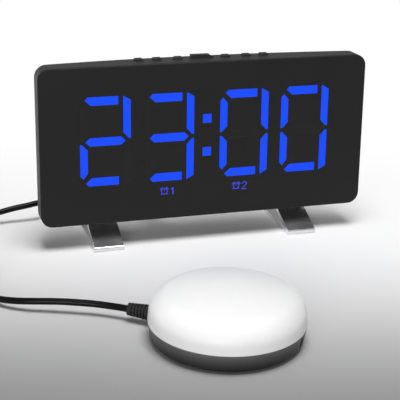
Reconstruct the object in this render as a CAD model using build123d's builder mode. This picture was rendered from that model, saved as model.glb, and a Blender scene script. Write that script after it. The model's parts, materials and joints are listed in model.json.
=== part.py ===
"""Bed shaker alarm clock: a digital clock on two chrome legs, and the vibrating puck on its lead.

Millimetres. +X is right and +Y is back, seen from the front; +Z is up and Z = 0 is the table.
The origin lies on the table, below the middle of the clock and of the puck in front of it.
"""
from build123d import *
import math
import os

os.makedirs("parts", exist_ok=True)

# Clock case
CASE_WIDTH = 186.0
CASE_HEIGHT = 87.8
CASE_CORNER = 6.5
CASE_DEPTH_SIDE = 12.0
CASE_DEPTH_MIDDLE = 18.0
CASE_WALL = 2.0
CASE_LEAN = 2.0
CASE_BACK_ROUND = 1.0
CASE_LIFT = 14.7
LENS_THICKNESS = 2.0
LENS_BEVEL = 0.4
FRAME_DEPTH = 4.0

# Display
DIGIT_WIDTH = 28.1
DIGIT_HEIGHT = 49.6
DIGIT_STROKE = 4.7
DIGIT_SIDE_STROKE = 4.2
DIGIT_PITCH = 35.6
COLON_SPACE = 7.4
DISPLAY_MIDDLE = 46.8
SEGMENT_MIDDLE_GAP = 2.4
SEGMENT_SPLIT = 2.6
SEGMENT_TIP = 1.7
SEGMENT_MITRE = 3.3
SEGMENT_SLANT = 2.4
COLON_DOT = 5.0
COLON_SPREAD = 18.8
DIGITS = ("abged", "abgcd", "abcdef", "abcdef")
ICON_SPOTS = ((-24.2, 16.0), (17.6, 16.0))
ICON_RING = 3.9
ICON_LINE = 0.6
ICON_INLAY = 0.4
ICON_HAND = 1.0
ICON_HAND_WIDTH = 0.4
ICON_EAR_GAP = 0.1
ICON_EAR_WIDTH = 0.7
ICON_EAR_LENGTH = 2.0
ICON_FOOT_LENGTH = 1.3
NUMERAL_OFFSET = 4.9
NUMERAL_HEIGHT = 4.2
NUMERAL_STEM = 0.8
NUMERAL_FLAG = 1.3
NUMERAL_FLAG_DROP = 0.85
NUMERAL_FLAG_TURN = 40.0
NUMERAL_CURL = 1.25

# Boards behind the display
REFLECTOR_DEPTH = 5.0
REFLECTOR_MARGIN = 4.0
BOARD_THICKNESS = 1.6
BOARD_MARGIN_SIDE = 13.0
BOARD_MARGIN_ENDS = 4.0
LED_SIZE = 2.0
LED_HEIGHT = 0.8
CHIP_SIZE = 12.0
CHIP_HEIGHT = 1.6
CRYSTAL_LENGTH = 10.0
CRYSTAL_WIDTH = 4.2
CRYSTAL_HEIGHT = 3.5
BUZZER_SPOT = (45.0, 54.0)
BUZZER_RADIUS = 6.0
BUZZER_HEIGHT = 5.2
BUZZER_PORT = 1.2
GRILLE_HOLE = 0.9
GRILLE_RADIUS = 3.8
GRILLE_COUNT = 6

# Coin cell and its door in the back
CELL_SPOT = (-45.0, 54.0)
CELL_RADIUS = 10.0
CELL_THICKNESS = 3.2
CELL_GAP = 0.15
HOLDER_WALL = 1.4
HOLDER_FLOOR = 1.0
DOOR_SIZE = 27.0
DOOR_THICKNESS = 1.0
DOOR_LEDGE = 2.0
DOOR_GAP = 0.3
DOOR_CORNER = 2.0
GRIP_COUNT = 3
GRIP_LENGTH = 9.0
GRIP_WIDTH = 1.2
GRIP_PITCH = 3.6
GRIP_INSET = 4.0
GRIP_DEPTH = 0.5

# Sockets in the back
SOCKET_X = 22.0
SOCKET_Z = 10.0
SOCKET_BLOCK = 9.0
SOCKET_NOSE = 3.5
SOCKET_PROUD = 0.4
SOCKET_FIT = 0.2
BARREL_RADIUS = 1.75
BARREL_BORE = 0.75
BARREL_LENGTH = 8.5
BARREL_FIT = 0.1
CENTRE_PIN = 0.6

# Buttons along the rear of the top
BUTTONS = ("alarm_1", "alarm_2", "time", "snooze", "minus", "plus", "dimmer")
BUTTON_SPOTS = (-35.8, -25.6, -13.6, 0.0, 13.6, 25.6, 35.8)
BUTTON_DEPTH = 12.3
BUTTON_WIDTH = 4.8
BUTTON_LENGTH = 3.4
BUTTON_PROUD = 1.2
SNOOZE_WIDTH = 12.8
SNOOZE_PROUD = 1.8
SNOOZE_BEVEL = 2.4
BUTTON_ROUND = 1.0
BUTTON_GAP = 0.25
FLANGE_WIDTH = 0.7
FLANGE_THICKNESS = 1.1
FLANGE_GAP = 0.2
PLUNGER_RADIUS = 1.2
PLUNGER_LENGTH = 2.7
PLUNGER_FIT = 0.05
SWITCH_WIDTH = 6.0
SWITCH_HEIGHT = 4.2
SWITCH_GAP = 1.5
SWITCH_BORE_DEPTH = 2.4
SWITCH_BEHIND = 2.2

# Case screws
BOSS_INSET = 7.0
BOSS_RADIUS = 5.6
SCREW_RADIUS = 1.25
SCREW_HEAD_RADIUS = 2.5
SCREW_HEAD = 1.8
SCREW_FIT = 0.05
SCREW_PASS = 0.15
SCREW_HEAD_GAP = 0.2
SCREW_SEAT = 3.5
SCREW_BITE = 3.0
SCREW_SUNK = 0.05
CROSS_LENGTH = 2.6
CROSS_WIDTH = 0.6
CROSS_DEPTH = 0.8

# Legs
LEG_X = 56.5
LEG_WIDTH = 16.6
LEG_NOSE_AHEAD = 5.3
LEG_NOSE = 2.6
LEG_NOSE_ROUND = 0.9
LEG_FLOOR_THICKNESS = 2.0
LEG_THICKNESS = 2.2
LEG_SLOPE = 20.0
LEG_REACH = 47.0
LEG_BEND = 3.0
TONGUE_TOP = 30.0
PAD_DEPTH = 16.9
PAD_MARGIN = 0.8
LEG_SCREW_Z = 22.0
LEG_SCREW_SPREAD = 9.0
LEG_SCREW_BITE = 6.0
LEG_BOSS_WALL = 1.8

# Shaker puck
PUCK_X = -25.6
PUCK_AHEAD = 120.7
PUCK_RADIUS = 37.5
PUCK_RIM = 10.0
PUCK_TOP = 27.5
PUCK_WALL = 2.0
DOME_DRAFT = 0.9
DOME_CROWN = 5.5
DOME_SHOULDER = 12.0
BASE_TAPER = 1.6
BASE_ROUND = 3.4
BASE_LIP = 1.4
BASE_LIP_HEIGHT = 2.4
BASE_LIP_GAP = 0.35
NOTCH_ANGLE = -40.0
NOTCH_WIDTH = 3.2
NOTCH_HEIGHT = 4.5
NOTCH_DEPTH = 1.3
FOOT_RADIUS = 4.0
FOOT_PROUD = 0.6
FOOT_RECESS = 0.6
FOOT_CIRCLE = 24.0
FOOT_COUNT = 3
PUCK_SCREW_CIRCLE = 27.0
PUCK_SCREW_COUNT = 3
PUCK_SCREW_BITE = 6.0
PUCK_BOSS = 3.0
PUCK_BOSS_Z = 4.4
PUCK_BOSS_SINK = 0.6

# Vibration motor, lying along X in the puck
MOTOR_Z = 12.2
MOTOR_RADIUS = 7.8
MOTOR_BACK = -13.0
MOTOR_FRONT = 7.0
MOTOR_WALL = 0.8
MOTOR_NOSE_RADIUS = 2.5
MOTOR_NOSE = 1.5
END_CAP = 2.2
END_CAP_REGISTER = 1.0
MAGNET_THICKNESS = 1.1
MAGNET_GAP = 0.1
MAGNET_LENGTH = 14.0
MAGNET_ANGLE = 120
ARMATURE_RADIUS = 5.2
ARMATURE_LENGTH = 11.0
ARMATURE_SPACE = 2.0
ARMATURE_POLES = 3
ARMATURE_SLOT = 1.2
ARMATURE_SLOT_DEPTH = 3.0
SHAFT_RADIUS = 1.0
SHAFT_FIT = 0.04
SHAFT_END = 17.0
WEIGHT_RADIUS = 8.4
WEIGHT_HUB = 3.0
WEIGHT_LENGTH = 7.0
WEIGHT_SPACE = 0.7
SADDLE_SPOTS = (-11.0, 5.0)
SADDLE_LENGTH = 3.0
SADDLE_FIT = 0.05
STRAP_X = -3.0
STRAP_LENGTH = 7.0
STRAP_THICKNESS = 0.8
STRAP_EAR = 5.0
STRAP_POST = 2.6
STRAP_SCREW_RADIUS = 1.05
STRAP_SCREW_HEAD = 2.0
STRAP_SCREW_BITE = 5.0
LEAD_WIRE = 1.2
LEAD_SPREAD = 3.0
LEAD_RUN = 4.8
LEAD_BEND = 1.2

# Strain relief on the puck
RELIEF_ANGLE = 144.0
RELIEF_Z = 6.2
RELIEF_LENGTH = 12.0
RELIEF_WIDE = 7.8
RELIEF_SLIM = 6.2
RELIEF_NECK = 5.6
RELIEF_FLANGE = 7.0
RELIEF_FLANGE_LENGTH = 1.4
RELIEF_FIT = 0.1
RELIEF_STANDOFF = 0.5
RIB_COUNT = 6
RIB_PITCH = 1.7
RIB_GROOVE = 0.7
RIB_GROOVE_DEPTH = 0.9

# Lead
CORD = 3.4
CORD_FIRST_RUN = 7.5
CORD_LAST_RUN = 12.0
BEND_SHARE = 0.45
PLUG_RADIUS = 4.0
PLUG_LENGTH = 16.0
PLUG_BOOT = 10.0
PLUG_BOOT_SLIM = 2.4
PLUG_GAP = 0.2
PLUG_ROUND = 1.0
COIL_CENTRE = (-150.0, 85.6)
COIL_HEADING = 185.0
COIL_RADIUS = 22.5
COIL_PITCH = 3.9
COIL_LAYERS = 4
HALF_TURNS = 5
TIE_THICKNESS = 0.8
TIE_WIDTH = 4.0
TIE_GAP = 0.15
TIE_SIDE_GAP = 0.8

# Places worked out from the sizes above
LEAN = math.radians(CASE_LEAN)
CLOCK_Y = (PUCK_AHEAD + PUCK_RADIUS - LEG_REACH) / 2
PUCK_Y = CLOCK_Y - PUCK_AHEAD
HOUSING_FRONT = LENS_THICKNESS + FRAME_DEPTH
BOARD_FRONT = LENS_THICKNESS + REFLECTOR_DEPTH
BOARD_BACK = BOARD_FRONT + BOARD_THICKNESS
BACK_BULGE = CASE_DEPTH_MIDDLE - CASE_DEPTH_SIDE
BACK_RADIUS = ((CASE_WIDTH / 2) ** 2 + BACK_BULGE ** 2) / (2 * BACK_BULGE)
COIL_Z = TIE_THICKNESS + TIE_GAP + CORD / 2

# Clock coordinates are x to the right, y back from the display and z up along it
CLOCK = Plane(origin=(0, CLOCK_Y, CASE_LIFT), x_dir=(1, 0, 0), z_dir=(0, math.sin(LEAN), math.cos(LEAN)))
CLOCK_AHEAD = Axis(CLOCK.origin, -CLOCK.y_dir)
PUCK = Plane(origin=(PUCK_X, PUCK_Y, 0))


def face_plane(depth):
    """A plane parallel to the display, drawn right and up, that looks forwards."""
    return Plane(origin=CLOCK.from_local_coords((0, depth, 0)), x_dir=CLOCK.x_dir, z_dir=-CLOCK.y_dir)


def back_depth(x, inset=0.0):
    """How far back the convex rear of the case lies at x."""
    return CASE_DEPTH_MIDDLE - BACK_RADIUS + math.sqrt((BACK_RADIUS - inset) ** 2 - x ** 2)


def save(builder, name):
    """Label a finished piece and write it."""
    builder.part.label = name
    export_step(builder.part, f"parts/{name}.step")


def panel_sketch(depth, inset=0.0):
    """The rounded outline of the case at a depth, drawn in by an inset."""
    with BuildSketch(face_plane(depth)) as sketch:
        with Locations((0, CASE_HEIGHT / 2)):
            RectangleRounded(CASE_WIDTH - 2 * inset, CASE_HEIGHT - 2 * inset, CASE_CORNER - inset)
    return sketch.sketch


def plan_sketch(inset=0.0):
    """A slab a little wider than the case, seen from above; its convex back is drawn in by an inset."""
    half = CASE_WIDTH / 2 + CASE_WALL
    with BuildSketch(CLOCK) as sketch:
        with BuildLine():
            left = (-half, back_depth(half, inset))
            right = (half, back_depth(half, inset))
            ThreePointArc(left, (0, back_depth(0, inset)), right)
            Polyline(right, (half, HOUSING_FRONT), (-half, HOUSING_FRONT), left)
        make_face()
    return sketch.sketch


def skin_sketch(height, x_left, x_right, outer, inner):
    """A slice of the convex back between two x values and two insets, seen from above."""
    middle = (x_left + x_right) / 2
    with BuildSketch(CLOCK.offset(height)) as sketch:
        with BuildLine():
            out_left, out_middle, out_right = [(x, back_depth(x, outer)) for x in (x_left, middle, x_right)]
            in_left, in_middle, in_right = [(x, back_depth(x, inner)) for x in (x_left, middle, x_right)]
            ThreePointArc(out_left, out_middle, out_right)
            Line(out_right, in_right)
            ThreePointArc(in_right, in_middle, in_left)
            Line(in_left, out_left)
        make_face()
    return sketch.sketch


# Display segments
def segment_outline(kind):
    """The corners of one segment, about the middle of its digit."""
    half = DIGIT_WIDTH / 2
    top = DIGIT_HEIGHT / 2
    inner = half - DIGIT_SIDE_STROKE
    low = SEGMENT_MIDDLE_GAP / 2
    tip = SEGMENT_TIP
    mitre = SEGMENT_MITRE
    end = inner - SEGMENT_SPLIT
    start = tip + low - half
    if kind in "cde":
        return [(x, -y) for x, y in segment_outline({"c": "b", "d": "a", "e": "f"}[kind])]
    if kind == "a":
        return [(start, top - tip), (start + tip, top), (end, top), (end, top - DIGIT_STROKE),
                (start + mitre, top - DIGIT_STROKE)]
    if kind == "b":
        return [(inner, top), (half, top - SEGMENT_SLANT), (half, low), (half - low, low),
                (inner, low + mitre)]
    if kind == "f":
        high = top - tip - SEGMENT_SLANT
        return [(-half, low), (low - half, low), (-inner, low + mitre), (-inner, high - mitre),
                (tip - half, high), (-half, high - tip)]
    bar = DIGIT_STROKE / 2
    side = inner + low
    return [(-side, 0), (bar - side, bar), (side - bar, bar), (side, 0), (side - bar, -bar),
            (bar - side, -bar)]


def digit_middle(index):
    """Where the middle of a digit lies; the colon parts the second from the third."""
    side = -1 if index < 2 else 1
    return DIGIT_PITCH * (index - 1.5) + side * COLON_SPACE / 2


def segment_spots(lit):
    """Digit and segment names of the lit or of the unlit segments."""
    return [(i, kind) for i in range(len(DIGITS)) for kind in "abcdefg" if (kind in DIGITS[i]) == lit]


def segment_sketch(depth, spots, colon):
    """The outlines of the named segments, and of the colon if it is wanted."""
    with BuildSketch(face_plane(depth)) as sketch:
        for index, kind in spots:
            with BuildLine():
                middle = digit_middle(index)
                corners = [(middle + x, DISPLAY_MIDDLE + y) for x, y in segment_outline(kind)]
                Polyline(*corners, close=True)
            make_face()
        if colon:
            with Locations((0, DISPLAY_MIDDLE - COLON_SPREAD / 2), (0, DISPLAY_MIDDLE + COLON_SPREAD / 2)):
                Rectangle(COLON_DOT, COLON_DOT)
    return sketch.sketch


def icon_sketch(depth):
    """Two alarm pictograms, each with its number."""
    rim = ICON_RING / 2
    ear_reach = rim + ICON_EAR_GAP + ICON_EAR_WIDTH / 2
    foot_reach = rim - ICON_LINE + ICON_FOOT_LENGTH / 2
    half = NUMERAL_HEIGHT / 2
    with BuildSketch(face_plane(depth)) as sketch:
        for x, z in ICON_SPOTS:
            with Locations((x, z)):
                Circle(rim)
                Circle(rim - ICON_LINE, mode=Mode.SUBTRACT)
            with Locations((x, z + ICON_HAND / 2)):
                Rectangle(ICON_HAND_WIDTH, ICON_HAND)
            for angle in (45, 135):
                turn = math.radians(angle)
                with Locations((x + ear_reach * math.cos(turn), z + ear_reach * math.sin(turn))):
                    Rectangle(ICON_EAR_WIDTH, ICON_EAR_LENGTH, rotation=angle)
                with Locations((x + foot_reach * math.cos(turn), z - foot_reach * math.sin(turn))):
                    Rectangle(ICON_FOOT_LENGTH, ICON_LINE, rotation=-angle)
        (x, z), (second_x, second_z) = ICON_SPOTS
        stem = x + NUMERAL_OFFSET
        with Locations((stem, z)):
            Rectangle(NUMERAL_STEM, NUMERAL_HEIGHT)
        with Locations((stem - ICON_LINE, z + half - NUMERAL_FLAG_DROP)):
            Rectangle(NUMERAL_FLAG, ICON_LINE, rotation=NUMERAL_FLAG_TURN)
        left = second_x + NUMERAL_OFFSET - NUMERAL_CURL
        right = second_x + NUMERAL_OFFSET + NUMERAL_CURL
        shoulder = second_z + half - NUMERAL_CURL
        with BuildLine():
            ThreePointArc((left, shoulder), (second_x + NUMERAL_OFFSET, second_z + half), (right, shoulder))
            Polyline((right, shoulder), (left, second_z - half), (right, second_z - half))
        trace(line_width=ICON_LINE)
    return sketch.sketch


ALL_SEGMENTS = segment_spots(True) + segment_spots(False)

with BuildPart() as front_lens:
    extrude(panel_sketch(LENS_THICKNESS), amount=LENS_THICKNESS)
    chamfer(front_lens.faces().sort_by(CLOCK_AHEAD)[-1].edges(), LENS_BEVEL)
    extrude(segment_sketch(LENS_THICKNESS, ALL_SEGMENTS, True), amount=LENS_THICKNESS, mode=Mode.SUBTRACT)
    extrude(icon_sketch(ICON_INLAY), amount=ICON_INLAY, mode=Mode.SUBTRACT)
save(front_lens, "front_lens")

with BuildPart() as lit_segments:
    extrude(segment_sketch(LENS_THICKNESS, segment_spots(True), True), amount=LENS_THICKNESS)
save(lit_segments, "lit_segments")

with BuildPart() as unlit_segments:
    extrude(segment_sketch(LENS_THICKNESS, segment_spots(False), False), amount=LENS_THICKNESS)
save(unlit_segments, "unlit_segments")

with BuildPart() as alarm_icons:
    extrude(icon_sketch(ICON_INLAY), amount=ICON_INLAY)
save(alarm_icons, "alarm_icons")

# Case: a front frame behind the lens, and a rear housing with a convex back
BOSS_SPOTS = [(x, z) for x in (BOSS_INSET - CASE_WIDTH / 2, CASE_WIDTH / 2 - BOSS_INSET)
              for z in (BOSS_INSET, CASE_HEIGHT - BOSS_INSET)]
SEAT_DEPTH = HOUSING_FRONT + SCREW_SEAT

with BuildPart() as front_frame:
    extrude(panel_sketch(HOUSING_FRONT), amount=FRAME_DEPTH)
    extrude(panel_sketch(HOUSING_FRONT, CASE_WALL), amount=FRAME_DEPTH, mode=Mode.SUBTRACT)
    with BuildSketch(face_plane(HOUSING_FRONT)):
        with Locations(*BOSS_SPOTS):
            Circle(BOSS_RADIUS)
    extrude(amount=FRAME_DEPTH)
    extrude(panel_sketch(HOUSING_FRONT), amount=FRAME_DEPTH, mode=Mode.INTERSECT)
    with BuildSketch(face_plane(HOUSING_FRONT)):
        with Locations(*BOSS_SPOTS):
            Circle(SCREW_RADIUS + SCREW_FIT)
    extrude(amount=SCREW_BITE, mode=Mode.SUBTRACT)
save(front_frame, "front_frame")

BUTTON_SIZES = [SNOOZE_WIDTH if name == "snooze" else BUTTON_WIDTH for name in BUTTONS]
LEG_SCREW_SPOTS = [(side * LEG_X + step * LEG_SCREW_SPREAD / 2, LEG_SCREW_Z)
                   for side in (-1, 1) for step in (-1, 1)]
DOOR_LEFT = CELL_SPOT[0] - DOOR_SIZE / 2
DOOR_RIGHT = CELL_SPOT[0] + DOOR_SIZE / 2
DOOR_LOW = CELL_SPOT[1] - DOOR_SIZE / 2
SOCKET_FACE = back_depth(SOCKET_X) + SOCKET_PROUD
LEG_BOSS = SCREW_RADIUS + LEG_BOSS_WALL

with BuildPart() as case_outside:
    extrude(panel_sketch(CASE_DEPTH_MIDDLE), amount=CASE_DEPTH_MIDDLE - HOUSING_FRONT)
    extrude(plan_sketch(), amount=CASE_HEIGHT, mode=Mode.INTERSECT)
    fillet(case_outside.faces().sort_by(CLOCK_AHEAD)[0].edges(), CASE_BACK_ROUND)

with BuildPart() as case_inside:
    extrude(panel_sketch(CASE_DEPTH_MIDDLE, CASE_WALL), amount=CASE_DEPTH_MIDDLE - HOUSING_FRONT)
    extrude(plan_sketch(CASE_WALL), amount=CASE_HEIGHT, mode=Mode.INTERSECT)

with BuildPart() as corner_posts:
    with BuildSketch(face_plane(CASE_DEPTH_SIDE)):
        with Locations(*BOSS_SPOTS):
            Circle(BOSS_RADIUS)
    extrude(amount=CASE_DEPTH_SIDE - HOUSING_FRONT)
    extrude(panel_sketch(CASE_DEPTH_MIDDLE), amount=CASE_DEPTH_MIDDLE, mode=Mode.INTERSECT)

with BuildPart() as rear_housing:
    add(case_outside.part)
    with BuildSketch(face_plane(PAD_DEPTH)):
        with Locations((-LEG_X, TONGUE_TOP / 2), (LEG_X, TONGUE_TOP / 2)):
            Rectangle(LEG_WIDTH + 2 * PAD_MARGIN, TONGUE_TOP - 2 * PAD_MARGIN)
    extrude(amount=PAD_DEPTH - back_depth(LEG_X + LEG_WIDTH, CASE_WALL))
    add(case_inside.part, mode=Mode.SUBTRACT)
    add(corner_posts.part)
    with BuildSketch(face_plane(back_depth(LEG_X))):
        with Locations(*LEG_SCREW_SPOTS):
            Circle(LEG_BOSS)
    extrude(amount=LEG_SCREW_BITE + LEG_BOSS_WALL + back_depth(LEG_X) - PAD_DEPTH)
    # Screw holes, the corner ones sunk from behind
    with BuildSketch(face_plane(CASE_DEPTH_MIDDLE)):
        with Locations(*BOSS_SPOTS):
            Circle(SCREW_RADIUS + SCREW_PASS)
    extrude(amount=CASE_DEPTH_MIDDLE, mode=Mode.SUBTRACT)
    with BuildSketch(face_plane(CASE_DEPTH_MIDDLE)):
        with Locations(*BOSS_SPOTS):
            Circle(SCREW_HEAD_RADIUS + SCREW_HEAD_GAP)
    extrude(amount=CASE_DEPTH_MIDDLE - SEAT_DEPTH, mode=Mode.SUBTRACT)
    with BuildSketch(face_plane(PAD_DEPTH)):
        with Locations(*LEG_SCREW_SPOTS):
            Circle(SCREW_RADIUS + SCREW_FIT)
    extrude(amount=LEG_SCREW_BITE, mode=Mode.SUBTRACT)
    # Sockets, sound holes and the battery opening with its ledge
    with BuildSketch(face_plane(SOCKET_FACE)):
        with Locations((-SOCKET_X, SOCKET_Z), (SOCKET_X, SOCKET_Z)):
            Circle(SOCKET_NOSE + SOCKET_FIT)
    extrude(amount=SOCKET_FACE - BOARD_BACK, mode=Mode.SUBTRACT)
    with BuildSketch(face_plane(CASE_DEPTH_MIDDLE)):
        with Locations(BUZZER_SPOT):
            Circle(GRILLE_HOLE)
            with PolarLocations(GRILLE_RADIUS, GRILLE_COUNT):
                Circle(GRILLE_HOLE)
    extrude(amount=CASE_DEPTH_MIDDLE - BOARD_BACK, mode=Mode.SUBTRACT)
    with BuildSketch(face_plane(CASE_DEPTH_MIDDLE)):
        with Locations(CELL_SPOT):
            RectangleRounded(DOOR_SIZE - 2 * DOOR_LEDGE, DOOR_SIZE - 2 * DOOR_LEDGE, DOOR_CORNER)
    extrude(amount=CASE_DEPTH_MIDDLE - BOARD_BACK, mode=Mode.SUBTRACT)
    recess = skin_sketch(DOOR_LOW - DOOR_GAP, DOOR_LEFT - DOOR_GAP, DOOR_RIGHT + DOOR_GAP, -CASE_WALL,
                         DOOR_THICKNESS + DOOR_GAP)
    extrude(recess, amount=DOOR_SIZE + 2 * DOOR_GAP, mode=Mode.SUBTRACT)
    # Button openings in the top wall
    for spot, width in zip(BUTTON_SPOTS, BUTTON_SIZES):
        with BuildSketch(CLOCK.offset(CASE_HEIGHT)):
            with Locations((spot, BUTTON_DEPTH)):
                Rectangle(width + 2 * BUTTON_GAP, BUTTON_LENGTH + 2 * BUTTON_GAP)
        extrude(amount=-CASE_WALL, mode=Mode.SUBTRACT)
save(rear_housing, "rear_housing")

with BuildPart() as battery_door:
    extrude(skin_sketch(DOOR_LOW, DOOR_LEFT, DOOR_RIGHT, 0, DOOR_THICKNESS), amount=DOOR_SIZE)
    for step in range(GRIP_COUNT):
        grip_top = DOOR_LOW + DOOR_SIZE - GRIP_INSET - step * GRIP_PITCH
        groove = skin_sketch(grip_top, CELL_SPOT[0] - GRIP_LENGTH / 2, CELL_SPOT[0] + GRIP_LENGTH / 2,
                             -GRIP_DEPTH, GRIP_DEPTH)
        extrude(groove, amount=-GRIP_WIDTH, mode=Mode.SUBTRACT)
save(battery_door, "battery_door")

with BuildPart() as housing_screws:
    with BuildSketch(face_plane(SEAT_DEPTH)):
        with Locations(*BOSS_SPOTS):
            Circle(SCREW_RADIUS)
    extrude(amount=SCREW_SEAT + SCREW_BITE - SCREW_FIT)
    with BuildSketch(face_plane(SEAT_DEPTH + SCREW_HEAD)):
        with Locations(*BOSS_SPOTS):
            Circle(SCREW_HEAD_RADIUS)
    extrude(amount=SCREW_HEAD)
    with BuildSketch(face_plane(SEAT_DEPTH + SCREW_HEAD)):
        with Locations(*BOSS_SPOTS):
            Rectangle(CROSS_LENGTH, CROSS_WIDTH)
            Rectangle(CROSS_WIDTH, CROSS_LENGTH)
    extrude(amount=CROSS_DEPTH, mode=Mode.SUBTRACT)
save(housing_screws, "housing_screws")

# Light reflector with one cell behind each segment, and the LED in each cell
DISPLAY_HALF = digit_middle(3) + DIGIT_WIDTH / 2

with BuildPart() as light_reflector:
    with BuildSketch(face_plane(BOARD_FRONT)):
        with Locations((0, DISPLAY_MIDDLE)):
            Rectangle(2 * (DISPLAY_HALF + REFLECTOR_MARGIN), DIGIT_HEIGHT + 2 * REFLECTOR_MARGIN)
    extrude(amount=REFLECTOR_DEPTH)
    extrude(segment_sketch(BOARD_FRONT, ALL_SEGMENTS, True), amount=REFLECTOR_DEPTH, mode=Mode.SUBTRACT)
save(light_reflector, "light_reflector")

with BuildPart() as main_board:
    with BuildSketch(face_plane(BOARD_BACK)):
        with Locations((0, CASE_HEIGHT / 2)):
            Rectangle(CASE_WIDTH - 2 * BOARD_MARGIN_SIDE, CASE_HEIGHT - 2 * BOARD_MARGIN_ENDS)
    extrude(amount=BOARD_THICKNESS)
save(main_board, "main_board")

with BuildPart() as led_chips:
    with BuildSketch(face_plane(BOARD_FRONT)):
        for index, kind in ALL_SEGMENTS:
            corners = segment_outline(kind)
            x_middle = sum(x for x, y in corners) / len(corners)
            z_middle = sum(y for x, y in corners) / len(corners)
            with Locations((digit_middle(index) + x_middle, DISPLAY_MIDDLE + z_middle)):
                Rectangle(LED_SIZE, LED_SIZE)
        with Locations((0, DISPLAY_MIDDLE - COLON_SPREAD / 2), (0, DISPLAY_MIDDLE + COLON_SPREAD / 2)):
            Rectangle(LED_SIZE, LED_SIZE)
    extrude(amount=LED_HEIGHT)
save(led_chips, "led_chips")

with BuildPart() as control_chip:
    with BuildSketch(face_plane(BOARD_BACK + CHIP_HEIGHT)):
        with Locations((0, DISPLAY_MIDDLE)):
            Rectangle(CHIP_SIZE, CHIP_SIZE)
    extrude(amount=CHIP_HEIGHT)
save(control_chip, "control_chip")

with BuildPart() as quartz_crystal:
    with BuildSketch(face_plane(BOARD_BACK + CRYSTAL_HEIGHT)):
        with Locations((0, DISPLAY_MIDDLE - CHIP_SIZE / 2 - CRYSTAL_WIDTH)):
            SlotOverall(CRYSTAL_LENGTH, CRYSTAL_WIDTH)
    extrude(amount=CRYSTAL_HEIGHT)
save(quartz_crystal, "quartz_crystal")

with BuildPart() as buzzer:
    with BuildSketch(face_plane(BOARD_BACK + BUZZER_HEIGHT)):
        with Locations(BUZZER_SPOT):
            Circle(BUZZER_RADIUS)
    extrude(amount=BUZZER_HEIGHT)
    with BuildSketch(face_plane(BOARD_BACK + BUZZER_HEIGHT)):
        with Locations(BUZZER_SPOT):
            Circle(BUZZER_PORT)
    extrude(amount=BUZZER_HEIGHT / 2, mode=Mode.SUBTRACT)
save(buzzer, "buzzer")

with BuildPart() as coin_cell_holder:
    with BuildSketch(face_plane(BOARD_BACK + HOLDER_FLOOR + CELL_THICKNESS)):
        with Locations(CELL_SPOT):
            Circle(CELL_RADIUS + CELL_GAP + HOLDER_WALL)
    extrude(amount=HOLDER_FLOOR + CELL_THICKNESS)
    with BuildSketch(face_plane(BOARD_BACK + HOLDER_FLOOR + CELL_THICKNESS)):
        with Locations(CELL_SPOT):
            Circle(CELL_RADIUS + CELL_GAP)
    extrude(amount=CELL_THICKNESS, mode=Mode.SUBTRACT)
save(coin_cell_holder, "coin_cell_holder")

with BuildPart() as coin_cell:
    with BuildSketch(face_plane(BOARD_BACK + HOLDER_FLOOR + CELL_THICKNESS)):
        with Locations(CELL_SPOT):
            Circle(CELL_RADIUS)
    extrude(amount=CELL_THICKNESS)
save(coin_cell, "coin_cell")

# Sockets: a block on the board, and a round nose through the back with a bore and a centre pin
SOCKET_BLOCK_DEPTH = back_depth(SOCKET_X + SOCKET_BLOCK / 2, CASE_WALL) - SOCKET_FIT - BOARD_BACK
SOCKET_BORE = BARREL_RADIUS + BARREL_FIT

for name, side in (("shaker_socket", -1), ("power_socket", 1)):
    with BuildPart() as socket:
        with BuildSketch(face_plane(BOARD_BACK + SOCKET_BLOCK_DEPTH)):
            with Locations((side * SOCKET_X, SOCKET_Z)):
                Rectangle(SOCKET_BLOCK, SOCKET_BLOCK)
        extrude(amount=SOCKET_BLOCK_DEPTH)
        with BuildSketch(face_plane(SOCKET_FACE)):
            with Locations((side * SOCKET_X, SOCKET_Z)):
                Circle(SOCKET_NOSE)
        extrude(amount=SOCKET_FACE - BOARD_BACK)
        with BuildSketch(face_plane(SOCKET_FACE)):
            with Locations((side * SOCKET_X, SOCKET_Z)):
                Circle(SOCKET_BORE)
                Circle(CENTRE_PIN, mode=Mode.SUBTRACT)
        extrude(amount=BARREL_LENGTH + BARREL_FIT, mode=Mode.SUBTRACT)
    save(socket, name)

# Tact switches on the board, and a cap and a plunger for each button
FLANGE_TOP = CASE_HEIGHT - CASE_WALL - FLANGE_GAP
FLANGE_LOW = FLANGE_TOP - FLANGE_THICKNESS
SWITCH_TOP = FLANGE_LOW - SWITCH_GAP

with BuildPart() as tact_switches:
    with BuildSketch(CLOCK.offset(SWITCH_TOP)):
        back = BUTTON_DEPTH + SWITCH_BEHIND
        with Locations(*[(spot, (BOARD_BACK + back) / 2) for spot in BUTTON_SPOTS]):
            Rectangle(SWITCH_WIDTH, back - BOARD_BACK)
    extrude(amount=-SWITCH_HEIGHT)
    with BuildSketch(CLOCK.offset(SWITCH_TOP)):
        with Locations(*[(spot, BUTTON_DEPTH) for spot in BUTTON_SPOTS]):
            Circle(PLUNGER_RADIUS + PLUNGER_FIT)
    extrude(amount=-SWITCH_BORE_DEPTH, mode=Mode.SUBTRACT)
save(tact_switches, "tact_switches")

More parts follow.
